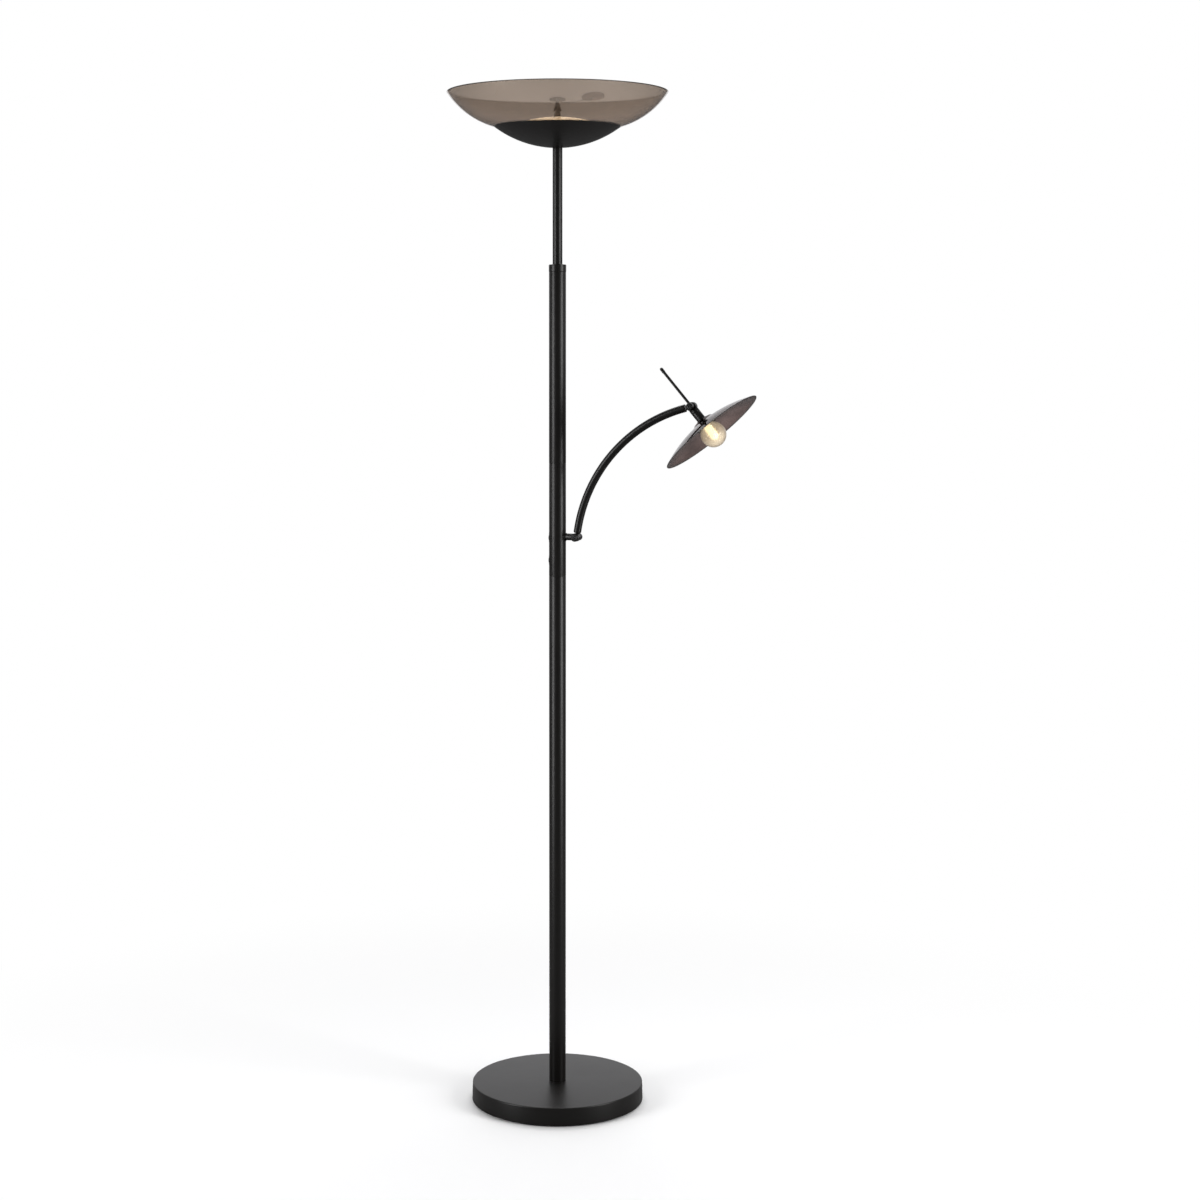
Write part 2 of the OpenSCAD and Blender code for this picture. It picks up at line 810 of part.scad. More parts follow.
// Stretch of the arm's bend, between two angles counted from the lower pivot
module arm_sweep(r, from_a, to_a) {
    translate([arm_centre_x, 0, arm_centre_z]) rotate([90, 0, 0])
        rotate([0, 0, 90 + arm_start_a - to_a])
            rotate_extrude(angle = to_a - from_a, $fn = 180)
                translate([arm_bend_r, 0]) circle(r = r, $fn = 48);
}

// Ear on a flat web, which ends where the arm tube begins
module arm_end(side, room_r, reach) {
    difference() {
        union() {
            ear(side, small_ear_r);
            translate([0, -stub_r, -web_t / 2]) cube([reach, 2 * stub_r, web_t]);
        }
        ear_room(-side, room_r);
        pivot_hole(screw_r + screw_play);
        ear_pocket(side);
    }
}

// Turning half of the lower knuckle, with a bored spigot inside the arm tube
module arm_knuckle() {
    color(satin_black) difference() {
        union() {
            along(pivot_x, pivot_z, arm_start_a - lower_inset_a / 2)
                arm_end(1, lower_room_r, lower_reach);
            arm_sweep(arm_bore_r - spigot_play, lower_inset_a - 0.1, lower_inset_a + spigot_a);
        }
        arm_sweep(lead_hole_r, lower_inset_a + 0.4, lower_inset_a + spigot_a + 0.5);
    }
}

module arm_tube() {
    color(satin_black) difference() {
        arm_sweep(arm_r, lower_inset_a, tube_end_a);
        arm_sweep(arm_bore_r, lower_inset_a - 0.2, tube_end_a + 0.2);
    }
}

module arm_lead() {
    color(lead_sheath) arm_sweep(lead_small_r, lower_inset_a + 0.6, tube_end_a - 0.6);
}

// Half of the upper knuckle that is fixed in the arm tube
module head_bracket() {
    color(satin_black) difference() {
        union() {
            along(head_x, head_z, 180 + arm_end_a + upper_inset_a / 2)
                arm_end(-1, upper_room_r, upper_reach);
            arm_sweep(arm_bore_r - spigot_play, tube_end_a - spigot_a, tube_end_a + 0.1);
        }
        arm_sweep(lead_hole_r, tube_end_a - spigot_a - 0.5, tube_end_a - 0.4);
    }
}

module head_friction_disc() {
    color(nickel) translate([head_x, 0, head_z]) friction_disc();
}

module head_pivot_screw() {
    color(dark_steel) along(head_x, head_z, 180 + arm_end_a) pivot_screw(-1);
}

// ---- Reading light ----

// Turning half of the upper knuckle, with the root of the neck
module head_knuckle() {
    color(satin_black) difference() {
        union() {
            translate([head_x, 0, head_z]) ear(1, big_ear_r);
            at_head() cylinder(r = neck_r, h = neck_root);
            at_head() translate([0, 0, neck_root - 1])
                cylinder(r = neck_bore_r, h = neck_spigot_len + 1);
        }
        translate([head_x, 0, head_z]) {
            ear_room(-1, upper_room_r);
            pivot_hole(screw_r + screw_play);
            ear_pocket(1);
        }
        at_head() translate([0, 0, stub_reach]) cylinder(r = lead_hole_r, h = 20);
        at_head() translate([0, rod_y, -20]) cylinder(r = rod_r, h = 20 - rod_root);
    }
}

// Tube with a collar that backs the glass
module neck_tube() {
    color(satin_black) at_head() {
        ring(neck_r, neck_bore_r, neck_root, neck_end - neck_root);
        ring(neck_collar_r, neck_r - 0.5, plateau_t - washer_t - neck_collar_t, neck_collar_t);
    }
}

// Thin rod for aiming the light by hand, with a rounded end
module aiming_rod() {
    color(satin_black) at_head() translate([0, rod_y, 0]) {
        translate([0, 0, -rod_end + tip_r]) cylinder(r = rod_r, h = rod_end - tip_r - rod_root);
        translate([0, 0, -rod_end + tip_r]) cylinder(r = tip_r, h = tip_len);
        translate([0, 0, -rod_end + tip_r]) sphere(r = tip_r);
    }
}

module shade_washer() {
    color(foam) at_head() ring(washer_r, neck_r, plateau_t - washer_t, washer_t);
}

// Flat glass dish: a slice of a sphere, with a low raised seat round the neck
module reading_shade() {
    outer_rim_a = asin(shade_r / shade_sphere_r);
    outer_flare_a = asin(flare_r / shade_sphere_r);
    inner_r = shade_sphere_r - shade_t;
    inner_rim_a = acos((shade_arc_t - rim_t) / inner_r);
    inner_flare_a = asin((flare_r - 1) / inner_r);
    color(smoke) at_head() rotate_extrude() polygon(concat(
        [[shade_hole_r, plateau_t + shade_t], [shade_hole_r, plateau_t], [plateau_r, plateau_t]],
        arc(0, shade_arc_t, shade_sphere_r, outer_flare_a - 90, outer_rim_a - 90, shade_steps),
        arc(0, shade_arc_t, inner_r, inner_rim_a - 90, inner_flare_a - 90, shade_steps),
        [[plateau_r - 1, plateau_t + shade_t]]));
}

// Black collar that screws onto the neck, holds the glass and shields the bulb's cap
module lamp_holder() {
    color(satin_black) at_head() difference() {
        union() {
            translate([0, 0, holder_back]) cylinder(r = holder_r, h = holder_flange_back - holder_back);
            translate([0, 0, holder_flange_back])
                cylinder(r = holder_flange_r, h = holder_front - holder_flange_back);
        }
        translate([0, 0, holder_back - 1]) cylinder(r = neck_r, h = 10);
        translate([0, 0, neck_end]) cylinder(r = holder_bore_r, h = 10);
        translate([0, 0, globe_t]) sphere(r = globe_r + holder_play);
    }
}

module bulb_socket() {
    color(ceramic) at_head() difference() {
        translate([0, 0, socket_back]) cylinder(r = socket_r, h = socket_front - socket_back);
        for (side = [-1, 1])
            translate([0, side * pin_spacing / 2, pin_back - 1]) cylinder(r = pin_hole_r, h = 20);
    }
}

module bulb_cap() {
    color(ceramic) at_head() {
        translate([0, 0, cap_back]) cylinder(r = cap_r, h = cap_front - cap_back);
        for (side = [-1, 1])
            translate([0, side * pin_spacing / 2, pin_back])
                cylinder(r = pin_r, h = cap_back - pin_back + 1);
    }
}

module bulb_core() {
    color(warm) at_head() {
        translate([0, 0, cap_front]) cylinder(r = core_r, h = core_front - core_r - cap_front);
        translate([0, 0, core_front - core_r]) sphere(r = core_r);
    }
}

module bulb_globe() {
    color(clear) at_head() difference() {
        translate([0, 0, globe_t]) sphere(r = globe_r);
        translate([0, 0, globe_t]) sphere(r = globe_r - globe_wall);
        translate([0, 0, cap_back - 1]) cylinder(r = cap_r, h = cap_front - cap_back + 1);
    }
}

base_pad();
base_plate();
base_cover();
base_weight();
base_nipple();
base_washer();
base_nut();
cord_grommet();
mains_lead();
foot_plug();
lower_pole();
lower_coupler();
middle_pole();
upper_coupler();
upper_pole();
reducer();
top_tube();
top_plug();
head_nipple();
uplight_cup();
cup_washer();
cup_nut();
uplight_lead();
heat_sink();
led_driver();
led_board();
uplight_leds();
bowl_pad();
bowl_gasket();
glass_bowl();
bowl_ring();
ring_screws();
diffuser();
dimmer_bezel_upper();
dimmer_bezel_lower();
dimmer_button_upper();
dimmer_button_lower();
dimmer_module_upper();
dimmer_module_lower();
arm_saddle();
arm_stub();
stub_nut();
arm_friction_disc();
arm_pivot_screw();
arm_knuckle();
arm_tube();
arm_lead();
head_bracket();
head_friction_disc();
head_pivot_screw();
head_knuckle();
neck_tube();
aiming_rod();
shade_washer();
reading_shade();
lamp_holder();
bulb_socket();
bulb_cap();
bulb_core();
bulb_globe();
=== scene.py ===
"""Looks of the torchiere floor lamp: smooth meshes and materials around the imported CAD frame.

Lengths in the outlines are in millimetres; everything handed to Blender is in metres.
"""
import json
import math

import bmesh
import bpy
from mathutils import Matrix, Vector


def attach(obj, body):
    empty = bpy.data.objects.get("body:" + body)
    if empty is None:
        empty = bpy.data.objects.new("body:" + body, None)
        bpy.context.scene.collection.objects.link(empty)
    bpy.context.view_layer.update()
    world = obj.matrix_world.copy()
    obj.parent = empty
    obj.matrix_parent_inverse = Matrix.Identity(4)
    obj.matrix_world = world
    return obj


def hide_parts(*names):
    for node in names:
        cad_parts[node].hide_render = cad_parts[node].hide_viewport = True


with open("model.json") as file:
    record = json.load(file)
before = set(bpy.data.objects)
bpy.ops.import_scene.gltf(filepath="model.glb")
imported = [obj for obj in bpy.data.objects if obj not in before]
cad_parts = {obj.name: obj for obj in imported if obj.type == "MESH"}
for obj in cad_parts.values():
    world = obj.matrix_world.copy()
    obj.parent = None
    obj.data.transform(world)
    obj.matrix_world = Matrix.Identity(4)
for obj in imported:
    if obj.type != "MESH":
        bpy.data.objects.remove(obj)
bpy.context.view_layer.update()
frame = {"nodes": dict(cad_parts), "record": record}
MM = 0.001

# ---- Camera ----
CAMERA_AZIMUTH = math.radians(20)
CAMERA_DISTANCE = 3.909
CAMERA_HEIGHT = 1.3516
CAMERA_PITCH = math.radians(-6.39)

camera = bpy.data.objects.new("camera", bpy.data.cameras.new("camera"))
camera.data.sensor_width = 36
camera.data.lens = 66.37
camera.data.shift_x = 0.0354
camera.location = (CAMERA_DISTANCE * math.sin(CAMERA_AZIMUTH),
                   -CAMERA_DISTANCE * math.cos(CAMERA_AZIMUTH), CAMERA_HEIGHT)
camera.rotation_euler = (math.pi / 2 + CAMERA_PITCH, 0, CAMERA_AZIMUTH)
bpy.context.scene.collection.objects.link(camera)
bpy.context.scene.camera = camera
bpy.context.scene.view_settings.view_transform = "Standard"


# ---- Node helpers ----

# Noise mostly lies between these two values
NOISE_LOW, NOISE_HIGH = 0.3, 0.7


def node(tree, kind, **settings):
    """Adds a shader node. A setting with a capital letter is an input, any other a property."""
    made = tree.nodes.new("ShaderNode" + kind)
    for key, value in settings.items():
        if key[0].isupper():
            made.inputs[key.replace("_", " ")].default_value = value
        else:
            setattr(made, key, value)
    return made


def shades(colour, spread):
    """The darkest and the lightest tone of a colour."""
    return [tuple(min(1.0, c * k) for c in colour) + (1.0,) for k in (1 - spread, 1 + spread)]


def finish(name, colour, roughness, metallic=0.0, grain=900.0, depth=0.02, spread=0.08,
           rough_spread=0.05, stretch=(1, 1, 1), cloud=14.0, **sockets):
    """A surface whose tone and gloss drift in broad clouds, with a fine grain in its relief.

    grain and cloud are in cycles per metre; depth is the height of the relief in mm."""
    made = bpy.data.materials.new(name)
    made.use_nodes = True
    tree = made.node_tree
    surface = tree.nodes["Principled BSDF"]
    surface.inputs["Metallic"].default_value = metallic
    for key, value in sockets.items():
        surface.inputs[key.replace("_", " ")].default_value = value
    coords = node(tree, "TexCoord")
    mapping = node(tree, "Mapping", Scale=stretch)
    tree.links.new(coords.outputs["Object"], mapping.inputs["Vector"])
    clouds = node(tree, "TexNoise", Scale=cloud, Detail=4.0, Roughness=0.55)
    fine = node(tree, "TexNoise", Scale=grain, Detail=3.0, Roughness=0.6)
    tree.links.new(coords.outputs["Object"], clouds.inputs["Vector"])
    tree.links.new(mapping.outputs["Vector"], fine.inputs["Vector"])
    ramp = node(tree, "ValToRGB")
    dark, light = shades(colour, spread)
    ramp.color_ramp.elements[0].position = NOISE_LOW
    ramp.color_ramp.elements[0].color = dark
    ramp.color_ramp.elements[1].position = NOISE_HIGH
    ramp.color_ramp.elements[1].color = light
    tree.links.new(clouds.outputs["Fac"], ramp.inputs["Fac"])
    tree.links.new(ramp.outputs["Color"], surface.inputs["Base Color"])
    gloss = node(tree, "MapRange", From_Min=NOISE_LOW, From_Max=NOISE_HIGH,
                 To_Min=max(0.0, roughness - rough_spread), To_Max=roughness + rough_spread)
    blend = node(tree, "Math", operation="MULTIPLY_ADD")
    blend.inputs[1].default_value = 0.5
    tree.links.new(fine.outputs["Fac"], blend.inputs[0])
    half = node(tree, "Math", operation="MULTIPLY")
    half.inputs[1].default_value = 0.5
    tree.links.new(clouds.outputs["Fac"], half.inputs[0])
    tree.links.new(half.outputs["Value"], blend.inputs[2])
    tree.links.new(blend.outputs["Value"], gloss.inputs["Value"])
    tree.links.new(gloss.outputs["Result"], surface.inputs["Roughness"])
    if depth:
        bump = node(tree, "Bump", Strength=1.0, Distance=depth * MM)
        tree.links.new(fine.outputs["Fac"], bump.inputs["Height"])
        tree.links.new(bump.outputs["Normal"], surface.inputs["Normal"])
    return made


MATERIALS = {
    "satin_black": finish("powder_coat", (0.0055, 0.0048, 0.0043), 0.36, grain=1900, depth=0.008,
                          spread=0.15, rough_spread=0.03, Specular_IOR_Level=0.32),
    "dark_steel": finish("black_oxide", (0.02, 0.02, 0.022), 0.38, metallic=0.6, grain=1800,
                         depth=0.01, spread=0.15),
    "zinc": finish("zinc_plate", (0.55, 0.56, 0.58), 0.3, metallic=1.0, grain=700, depth=0.02,
                   spread=0.14, rough_spread=0.08),
    "iron": finish("cast_iron", (0.12, 0.115, 0.11), 0.75, metallic=0.35, grain=420, depth=0.25,
                   spread=0.25),
    "foam": finish("black_foam", (0.018, 0.018, 0.018), 0.92, grain=1300, depth=0.2, spread=0.2),
    "smoke_glass": finish("smoked_mirror_glass", (0.6, 0.507, 0.43), 0.03, metallic=0.42,
                          grain=7, depth=0.05, spread=0.07, rough_spread=0.012, cloud=5,
                          Transmission_Weight=1.0, IOR=1.5),
    "clear_glass": finish("frosted_bulb_glass", (0.95, 0.88, 0.76), 0.34, grain=30, depth=0.01,
                          spread=0.0, rough_spread=0.04, Transmission_Weight=1.0, IOR=1.3,
                          Emission_Color=(1.0, 0.86, 0.64, 1.0), Emission_Strength=0.07),
    "opal": finish("opal_diffuser", (0.95, 0.92, 0.85), 0.42, grain=1500, depth=0.01,
                   spread=0.02, Emission_Color=(1.0, 0.82, 0.55, 1.0), Emission_Strength=2.6),
    "warm_light": finish("glowing_phosphor", (1.0, 0.85, 0.55), 0.5, grain=2500, depth=0.02,
                         spread=0.06, Emission_Color=(1.0, 0.88, 0.62, 1.0),
                         Emission_Strength=0.85),
    "white_board": finish("white_solder_mask", (0.86, 0.86, 0.84), 0.45, grain=1500, depth=0.01,
                          spread=0.03),
    "bare_aluminium": finish("machined_aluminium", (0.78, 0.78, 0.8), 0.32, metallic=1.0,
                             grain=2200, depth=0.015, spread=0.06, stretch=(0.05, 1, 1)),
    "white_case": finish("fine_textured_plastic", (0.82, 0.82, 0.79), 0.55, grain=1600,
                         depth=0.03, spread=0.03),
    "ceramic": finish("glazed_ceramic", (0.84, 0.82, 0.76), 0.22, grain=300, depth=0.02,
                      spread=0.05, Coat_Weight=0.4, Coat_Roughness=0.08),
    "nickel": finish("plain_nickel", (0.62, 0.58, 0.5), 0.34, metallic=1.0, grain=1200,
                     depth=0.01, spread=0.1),
    "lead_sheath": finish("cable_sheath", (0.03, 0.03, 0.032), 0.5, grain=1100, depth=0.02,
                          spread=0.1),
}

# Painted shade: a darker copy of the smoked mirror glass for the reading shade, which is the same
# glass as the bowl's.
SMOKE_GLASS_WITH_PAINTED_SHADE = finish("smoked_mirror_glass_painted_darker", (0.135, 0.095, 0.088), 0.05, metallic=0.12,
                     grain=9, depth=0.05, spread=0.45, rough_spread=0.02, cloud=16,
                     Transmission_Weight=1.0, IOR=1.3)
EDGE_GLASS = finish("ground_glass_edge", (0.2, 0.17, 0.16), 0.3, grain=400, depth=0.02,
                    spread=0.1, Transmission_Weight=0.3, IOR=1.5)


def painted_edge_shade(material, blend, edge):
    """Paints shade onto a round glass towards the edge of its outline, where its wall is seen
    slanting.
    """
    tree = material.node_tree
    ramp = next(n for n in tree.nodes if n.type == "VALTORGB")
    facing = node(tree, "LayerWeight", Blend=blend)
    tree.links.new(facing.outputs["Facing"], ramp.inputs["Fac"])
    ramp.color_ramp.elements[1].color = edge + (1.0,)


def painted_shade_with_height(material, dark_z, light_z, drift=0.5):
    """Paints shade into a glass's tone: its dark tone at one height, its light one at another.

    drift is the share of the clouds that is left in the tone."""
    tree = material.node_tree
    ramp = next(n for n in tree.nodes if n.type == "VALTORGB")
    clouds = ramp.inputs["Fac"].links[0].from_socket
    coords = next(n for n in tree.nodes if n.type == "TEX_COORD")
    parts = node(tree, "SeparateXYZ")
    tree.links.new(coords.outputs["Object"], parts.inputs["Vector"])
    level = node(tree, "MapRange", From_Min=dark_z, From_Max=light_z,
                 To_Min=NOISE_LOW - drift / 2, To_Max=NOISE_HIGH - drift / 2)
    tree.links.new(parts.outputs["Z"], level.inputs["Value"])
    total = node(tree, "Math", operation="MULTIPLY_ADD")
    total.inputs[1].default_value = drift
    tree.links.new(clouds, total.inputs[0])
    tree.links.new(level.outputs["Result"], total.inputs[2])
    tree.links.new(total.outputs["Value"], ramp.inputs["Fac"])


# Painted shade: the smoked glass is darker at the bowl's rim, 1.8 m up, and lighter down to 1.735
# m.
painted_shade_with_height(MATERIALS["smoke_glass"], dark_z=1.8, light_z=1.735)
# Painted shade: the bulb glass is darker towards the edge of its outline.
painted_edge_shade(MATERIALS["clear_glass"], blend=0.5, edge=(0.42, 0.375, 0.34))

SLOT_OF = {entry["node"]: entry["material_slot"] for entry in frame["record"]["subparts"]}
BODY_OF = {name: body for body, names in frame["record"]["behaviour"]["bodies"].items()
           for name in names}
for name, cad_node in frame["nodes"].items():
    cad_node.data.materials.clear()
    cad_node.data.materials.append(MATERIALS[SLOT_OF[name]])


# ---- Mesh helpers ----

def rounded(points, closed=True, steps=5):
    """An outline with its corners rounded: a point's third number is the corner's radius."""
    out = []
    for i, point in enumerate(points):
        end = not closed and i in (0, len(points) - 1)
        if len(point) < 3 or end:
            out.append(tuple(point[:2]))
            continue
        here = Vector(point[:2])
        back = Vector(points[i - 1][:2]) - here
        ahead = Vector(points[(i + 1) % len(points)][:2]) - here
        room = 0.49 * min(back.length, ahead.length)
        back.normalize()
        ahead.normalize()
        half = back.angle(ahead) / 2
        cut = min(point[2] / math.tan(half), room)
        radius = cut * math.tan(half)
        centre = here + (back + ahead).normalized() * (radius / math.sin(half))
        first = here + back * cut - centre
        last = here + ahead * cut - centre
        start = math.atan2(first.y, first.x)
        turn = (math.atan2(last.y, last.x) - start + math.pi) % (2 * math.pi) - math.pi
        for k in range(steps + 1):
            a = start + turn * k / steps
            out.append((centre.x + radius * math.cos(a), centre.y + radius * math.sin(a)))
    return out


def round_corner(outline, index, radius):
    """Marks a point of an outline as a corner for rounded() to round."""
    outline[index] = outline[index][:2] + (radius,)


def arc(r0, z0, radius, start, end, steps):
    """Points of an arc about (r0, z0), from angle start to angle end in degrees."""
    angles = [math.radians(start + (end - start) * k / steps) for k in range(steps + 1)]
    return [(r0 + radius * math.cos(a), z0 + radius * math.sin(a)) for a in angles]


def turned(outline, segments=96, closed=True):
    """A mesh turned about Z from an (r, z) outline; a point with r of 0 becomes a pole."""
    mesh = bmesh.new()
    rings = []
    for r, z in outline:
        if r < 1e-6:
            rings.append([mesh.verts.new((0, 0, z * MM))])
            continue
        rings.append([mesh.verts.new((r * MM * math.cos(2 * math.pi * k / segments),
                                      r * MM * math.sin(2 * math.pi * k / segments), z * MM))
                      for k in range(segments)])
    pairs = list(zip(rings, rings[1:]))
    if closed:
        pairs.append((rings[-1], rings[0]))
    for low, high in pairs:
        if len(low) == 1 and len(high) == 1:
            continue
        for k in range(segments):
            n = (k + 1) % segments
            corners = ([low[0]] if len(low) == 1 else [low[k], low[n]]) \
                + ([high[0]] if len(high) == 1 else [high[n], high[k]])
            mesh.faces.new(corners)
    return mesh


def smooth(data, sharp_angle):
    for face in data.polygons:
        face.use_smooth = True
    data.set_sharp_from_angle(angle=math.radians(sharp_angle))


def piece(name, mesh, nodes, place=None, sharp_angle=32):
    """Makes an object of a bmesh, in place of CAD nodes, whose body and finish it takes."""
    if place is not None:
        mesh.transform(place)
    bmesh.ops.recalc_face_normals(mesh, faces=mesh.faces)
    data = bpy.data.meshes.new(name)
    mesh.to_mesh(data)
    mesh.free()
    made = bpy.data.objects.new(name, data)
    bpy.context.scene.collection.objects.link(made)
    smooth(data, sharp_angle)
    slot_name = SLOT_OF[nodes[0]]
    data.materials.append(MATERIALS[slot_name])
    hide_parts(*nodes)
    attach(made, BODY_OF[nodes[0]])
    return made


def ground_edge(made, place, level, band=0.8):
    """Gives a glass dish's rim, a band in mm below its top in its own frame, a ground look."""
    made.data.materials.append(EDGE_GLASS)
    into_dish = place.inverted()
    for face in made.data.polygons:
        if abs((into_dish @ face.center).z / MM - level) < band:
            face.material_index = 1


def applied(made, sharp_angle=32):
    """Bakes an object's modifiers into its mesh."""
    graph = bpy.context.evaluated_depsgraph_get()
    data = bpy.data.meshes.new_from_object(made.evaluated_get(graph))
    made.modifiers.clear()
    made.data = data
    smooth(data, sharp_angle)
    return made


def softened(cad_name, width, sharp_angle=32):
    """A copy of a CAD node with its flat faces joined up and its edges rounded off."""
    mesh = bmesh.new()
    mesh.from_mesh(frame["nodes"][cad_name].data)
    bmesh.ops.remove_doubles(mesh, verts=mesh.verts, dist=1e-6)
    bmesh.ops.dissolve_limit(mesh, angle_limit=math.radians(0.5), verts=mesh.verts,
                             edges=mesh.edges)
    made = piece("soft_" + cad_name, mesh, [cad_name], sharp_angle=sharp_angle)
    bevel = made.modifiers.new("edges", "BEVEL")
    bevel.width = width * MM
    bevel.segments = 2
    bevel.limit_method = "ANGLE"
    bevel.angle_limit = math.radians(sharp_angle)
    bevel.use_clamp_overlap = True
    return applied(made, sharp_angle)


# ---- Frames of the reading light and of the dimmers ----
PIVOTS = {joint["name"]: joint["pos_m"] for joint in frame["record"]["behaviour"]["joints"]
          if "pos_m" in joint}
HEAD_A = 49.5  # how far below level the reading light points, in degrees
HEAD_TURN = 90 + HEAD_A
AT_HEAD = Matrix.Translation(PIVOTS["head_tilt"]) \
    @ Matrix.Rotation(math.radians(HEAD_TURN), 4, "Y")


def at_dimmer(z):
    return Matrix.Translation((0, 0, z * MM)) @ Matrix.Rotation(math.radians(-90), 4, "Y")


# ---- Foot ----
piece("foot_cover", turned(rounded([
    (5.3, 33), (151.7, 33, 1.5), (153.5, 2.5, 0.3), (155, 2.5, 0.5), (154.2, 34.5, 2.2),
    (5.3, 34.5)], steps=8), 192), ["base_cover"])
piece("foot_pad", turned(rounded([
    (20, 0, 0.6), (150, 0, 0.8), (150, 2.5, 0.6), (20, 2.5, 0.6)]), 128), ["base_pad"])

# ---- Pole ----
POLE_R, POLE_BORE_R = 15, 13.5
FOOT_TOP, LOWER_JOINT_Z, UPPER_JOINT_Z, CAP_BOTTOM = 34.5, 957, 1157, 1491.5
LIP_T = 0.6
DIMMER_Z = {"upper": 1025, "lower": 985}
DIMMER_HOLE_R, STUB_Z, STUB_HOLE_R = 8, 1027, 5


def tube(bottom, top, outer=POLE_R, bore=POLE_BORE_R, edge=0.35):
    return turned(rounded([(bore, bottom), (outer, bottom, edge), (outer, top, edge),
                           (bore, top)], steps=3), 96)


piece("lower_pole_tube", tube(FOOT_TOP, LOWER_JOINT_Z - LIP_T / 2), ["lower_pole"])
middle = piece("middle_pole_tube", tube(LOWER_JOINT_Z + LIP_T / 2, UPPER_JOINT_Z - LIP_T / 2),
               ["middle_pole"])
for hole_z, hole_r, way in ((DIMMER_Z["lower"], DIMMER_HOLE_R, -1),
                            (DIMMER_Z["upper"], DIMMER_HOLE_R, -1), (STUB_Z, STUB_HOLE_R, 1)):
    cutter_mesh = turned([(0, 0), (hole_r, 0), (hole_r, 30), (0, 30)], 64, closed=False)
    cutter_mesh.transform(Matrix.Translation((0, 0, hole_z * MM))
                          @ Matrix.Rotation(math.radians(90 * way), 4, "Y"))
    bmesh.ops.recalc_face_normals(cutter_mesh, faces=cutter_mesh.faces)
    cutter_data = bpy.data.meshes.new("cutter")
    cutter_mesh.to_mesh(cutter_data)
    cutter_mesh.free()
    cutter = bpy.data.objects.new("cutter", cutter_data)
    bpy.context.scene.collection.objects.link(cutter)
    cut = middle.modifiers.new("hole", "BOOLEAN")
    cut.object = cutter
    cut.solver = "EXACT"
    applied(middle)
    bpy.data.objects.remove(cutter)
piece("upper_pole_tube", tube(UPPER_JOINT_Z + LIP_T / 2, CAP_BOTTOM), ["upper_pole"])
piece("reducer_cap", turned(rounded([
    (8.6, 1467.5), (13.5, 1467.5, 0.4), (13.5, CAP_BOTTOM), (15, CAP_BOTTOM, 0.1),
    (15.3, 1492.3, 0.3), (15.3, 1503.9, 1.1), (10.2, 1503.9, 0.6), (9.6, 1504.5, 0.3),
    (8.6, 1504.5)], steps=6), 96), ["reducer"])
piece("stem_tube", tube(1469.5, 1705, outer=8.6, bore=7.4, edge=0.2), ["top_tube"])

# ---- Uplight ----
CUP_CENTRE_Z, CUP_SPHERE_R, CUP_RIM_R, CUP_WALL, CUP_HOLE_R = 1891, 186, 109.6, 1.2, 5.3
BOWL_FLOOR_R, BOWL_ARC_Z, BOWL_SIDE_R, BOWL_T = 75.8, 1877.6, 140.4, 3
LAMP_H, BOWL_HOLE_R = 1800, 50
CUP_STEPS, BOWL_STEPS = 48, 56


def angle_at(reach, radius):
    """The angle of a sphere's point that is reach away from its axis, below its centre."""
    return math.degrees(math.asin(reach / radius)) - 90


cup_rim_a = angle_at(CUP_RIM_R, CUP_SPHERE_R)
cup_outline = arc(0, CUP_CENTRE_Z, CUP_SPHERE_R, angle_at(CUP_HOLE_R, CUP_SPHERE_R), cup_rim_a,
                  CUP_STEPS)
cup_outline += arc(0, CUP_CENTRE_Z, CUP_SPHERE_R - CUP_WALL, cup_rim_a,
                   angle_at(CUP_HOLE_R, CUP_SPHERE_R - CUP_WALL), CUP_STEPS)
round_corner(cup_outline, CUP_STEPS, 0.5)
round_corner(cup_outline, CUP_STEPS + 1, 0.5)
piece("spun_cup", turned(rounded(cup_outline, steps=4), 192), ["uplight_cup"])

rim_drop = BOWL_ARC_Z - LAMP_H
outer_a = -math.degrees(math.asin(rim_drop / BOWL_SIDE_R))
inner_r = BOWL_SIDE_R - BOWL_T
inner_a = -math.degrees(math.asin(rim_drop / inner_r))
bowl_outline = [(BOWL_HOLE_R, BOWL_ARC_Z - inner_r, 0.8),
                (BOWL_HOLE_R, BOWL_ARC_Z - BOWL_SIDE_R, 0.8)]
bowl_outline += arc(BOWL_FLOOR_R, BOWL_ARC_Z, BOWL_SIDE_R, -90, outer_a, BOWL_STEPS)
rim = len(bowl_outline) - 1
bowl_outline += arc(BOWL_FLOOR_R, BOWL_ARC_Z, inner_r, inner_a, -90, BOWL_STEPS)
round_corner(bowl_outline, rim, 1.4)
round_corner(bowl_outline, rim + 1, 1.4)
bowl = piece("slumped_bowl", turned(rounded(bowl_outline, steps=6), 256), ["glass_bowl"])
ground_edge(bowl, Matrix.Identity(4), LAMP_H)

DIFFUSER_TOP, FLOOR_TOP, DOME_R, DOME_A = 1755.2, 1740.2, 227.5, 12.2
piece("diffuser_lid", turned(rounded(
    [(54.4, FLOOR_TOP), (56, FLOOR_TOP, 0.3), (56, 1748.2, 2.6)]
    + arc(0, DIFFUSER_TOP - DOME_R, DOME_R, 90 - DOME_A, 90, 16)
    + arc(0, DIFFUSER_TOP - DOME_R, DOME_R - 1.6, 90, 90 - DOME_A, 16)
    + [(54.4, 1747.2, 1.6)], steps=6), 128), ["diffuser"])

